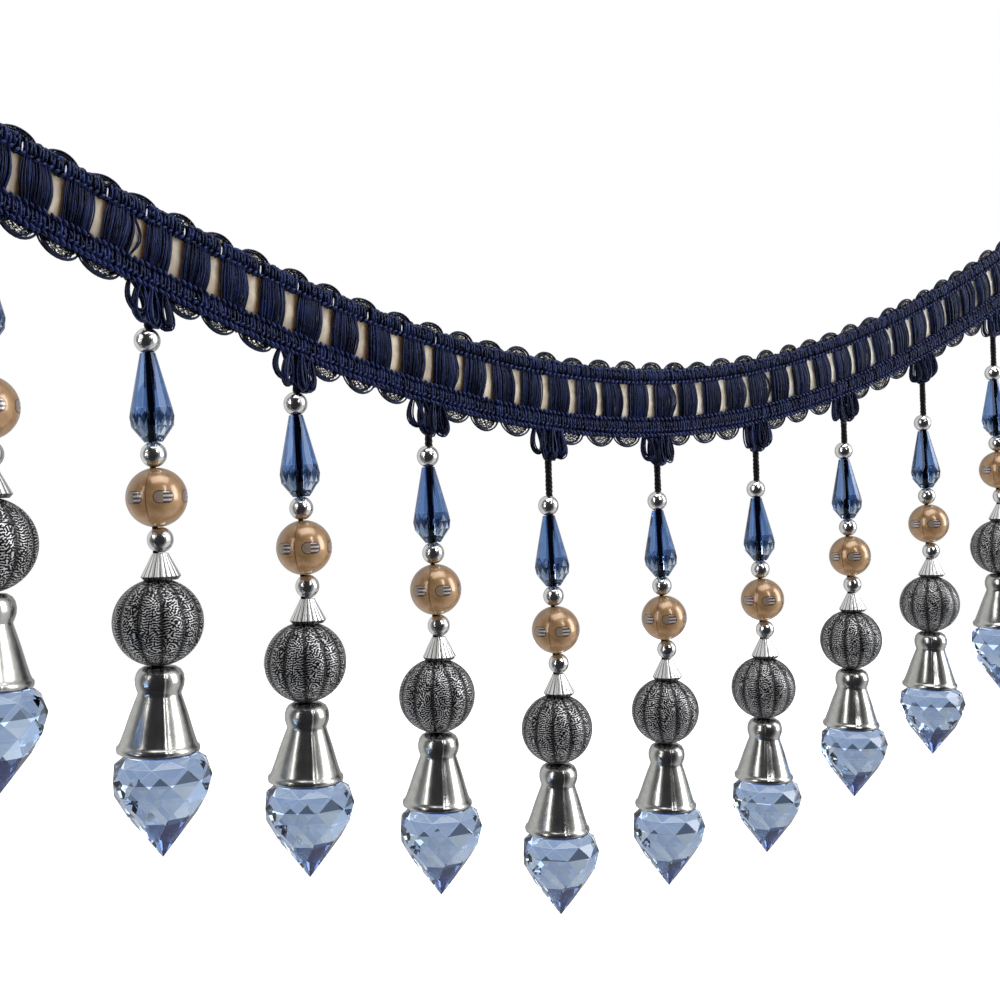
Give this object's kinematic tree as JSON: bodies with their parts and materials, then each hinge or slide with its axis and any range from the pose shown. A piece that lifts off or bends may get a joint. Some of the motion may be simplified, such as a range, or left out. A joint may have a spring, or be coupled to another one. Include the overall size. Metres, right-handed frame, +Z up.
{
  "type": "beaded fringe trim",
  "caption": "Navy woven gimp heading hung in a swag, with picot edges and a row of strung bead drops that end in faceted crystals.",
  "frame": {"origin": "top edge of the heading, halfway along the trim, on its flat back", "axes": "+X along the trim to the right as seen from the front, +Y to the back, +Z up"},
  "size_m": [0.3258, 0.0364, 0.1814],
  "materials": {
    "navy_yarn": "lustrous twisted viscose yarn",
    "beige_ribbon": "flat woven ribbon, slightly creased",
    "picot_mesh": "dark cord arches with fine metallic mesh",
    "silver": "bright silver plating",
    "blue_glass": "faceted deep blue",
    "tan_pearl": "pearly champagne with small printed ovals",
    "mesh_silver": "black and silver lace texture, grooved",
    "pale_crystal": "clear faceted steel blue"
  },
  "bodies": {
    "root": {"upper_rail": "navy_yarn", "lower_rail": "navy_yarn", "yarn_bars": "navy_yarn", "ribbon": "beige_ribbon", "upper_picots": "picot_mesh", "lower_edge": "navy_yarn", "spine_1": "silver", "teardrop_1": "blue_glass", "pearl_1": "tan_pearl", "mesh_bead_1": "mesh_silver", "crystal_1": "pale_crystal", "spine_2": "silver", "teardrop_2": "blue_glass", "pearl_2": "tan_pearl", "mesh_bead_2": "mesh_silver", "crystal_2": "pale_crystal", "spine_3": "silver", "teardrop_3": "blue_glass", "pearl_3": "tan_pearl", "mesh_bead_3": "mesh_silver", "crystal_3": "pale_crystal", "spine_4": "silver", "teardrop_4": "blue_glass", "pearl_4": "tan_pearl", "mesh_bead_4": "mesh_silver", "crystal_4": "pale_crystal", "spine_5": "silver", "teardrop_5": "blue_glass", "pearl_5": "tan_pearl", "mesh_bead_5": "mesh_silver", "crystal_5": "pale_crystal", "spine_6": "silver", "teardrop_6": "blue_glass", "pearl_6": "tan_pearl", "mesh_bead_6": "mesh_silver", "crystal_6": "pale_crystal", "spine_7": "silver", "teardrop_7": "blue_glass", "pearl_7": "tan_pearl", "mesh_bead_7": "mesh_silver", "crystal_7": "pale_crystal", "spine_8": "silver", "teardrop_8": "blue_glass", "pearl_8": "tan_pearl", "mesh_bead_8": "mesh_silver", "crystal_8": "pale_crystal", "spine_9": "silver", "teardrop_9": "blue_glass", "pearl_9": "tan_pearl", "mesh_bead_9": "mesh_silver", "crystal_9": "pale_crystal", "spine_10": "silver", "teardrop_10": "blue_glass", "pearl_10": "tan_pearl", "mesh_bead_10": "mesh_silver", "crystal_10": "pale_crystal"}
  },
  "joints": []
}
